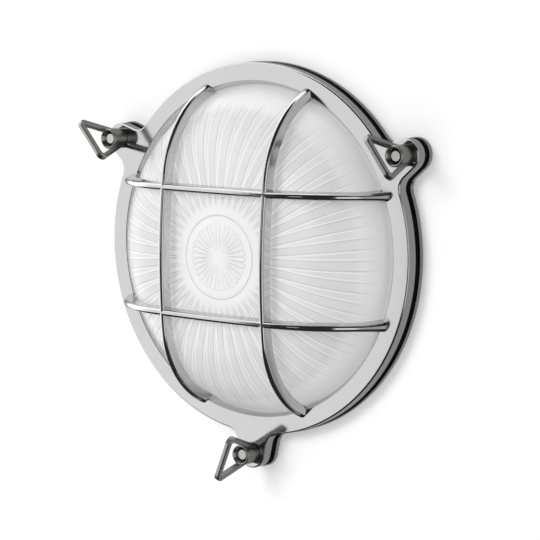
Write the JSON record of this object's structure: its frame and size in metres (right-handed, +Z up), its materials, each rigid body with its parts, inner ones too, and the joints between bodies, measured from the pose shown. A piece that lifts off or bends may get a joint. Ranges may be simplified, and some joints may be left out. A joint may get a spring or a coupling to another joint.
{
  "type": "bulkhead light",
  "caption": "Round wall bulkhead light: ribbed glass bowl under a caged chrome guard ring, clamped through a gasket to a lugged back plate by looped thumb nuts on studs.",
  "frame": {"origin": "centre of the flat wall face of the back plate, on the lamp axis", "axes": "+Z up the wall, +X to the right seen from the front, +Y into the wall; the front looks along -Y"},
  "size_m": [0.2419, 0.058, 0.2575],
  "materials": {
    "guard_chrome": "polished",
    "nut_chrome": "polished casting",
    "plate_chrome": "satin",
    "stud_steel": "turned",
    "screw_steel": "zinc plated",
    "black_rubber": "matte",
    "pressed_glass": "pressed ribs inside, smooth outside",
    "white_enamel": "gloss enamel",
    "porcelain": "glazed",
    "brass": "bright",
    "opal_lamp": "opal bulb on a metal cap",
    "ivory_plastic": "moulded",
    "brown_insulation": "extruded",
    "blue_insulation": "extruded",
    "green_insulation": "extruded"
  },
  "bodies": {
    "fitting": {"guard": "guard_chrome", "back_plate": "plate_chrome", "stud_right": "stud_steel", "stud_left": "stud_steel", "stud_bottom": "stud_steel", "reflector_screws": "screw_steel", "bracket_screws": "screw_steel", "terminal_screws": "screw_steel", "block_screw": "screw_steel", "earth_screw": "screw_steel", "holder_bracket": "screw_steel", "body_gasket": "black_rubber", "glass_seal": "black_rubber", "cable_grommet": "black_rubber", "glass_dome": "pressed_glass", "reflector": "white_enamel", "lampholder_body": "porcelain", "lampholder_shell": "brass", "centre_contact": "brass", "holder_nipple": "brass", "holder_nut": "brass", "terminal_tubes": "brass", "lamp": "opal_lamp", "terminal_block": "ivory_plastic", "live_wire": "brown_insulation", "neutral_wire": "blue_insulation", "earth_wire": "green_insulation"},
    "nut_right": {"thumb_nut_right": "nut_chrome"},
    "nut_left": {"thumb_nut_left": "nut_chrome"},
    "nut_bottom": {"thumb_nut_bottom": "nut_chrome"}
  },
  "joints": [
    {"name": "turn_right", "type": "hinge", "parent": "fitting", "child": "nut_right", "pos_m": [0.11024, -0.014, 0.06365], "axis": [0, -1, 0], "continuous": true},
    {"name": "turn_left", "type": "hinge", "parent": "fitting", "child": "nut_left", "pos_m": [-0.11024, -0.014, 0.06365], "axis": [0, -1, 0], "continuous": true},
    {"name": "turn_bottom", "type": "hinge", "parent": "fitting", "child": "nut_bottom", "pos_m": [0, -0.014, -0.1273], "axis": [0, -1, 0], "continuous": true}
  ]
}
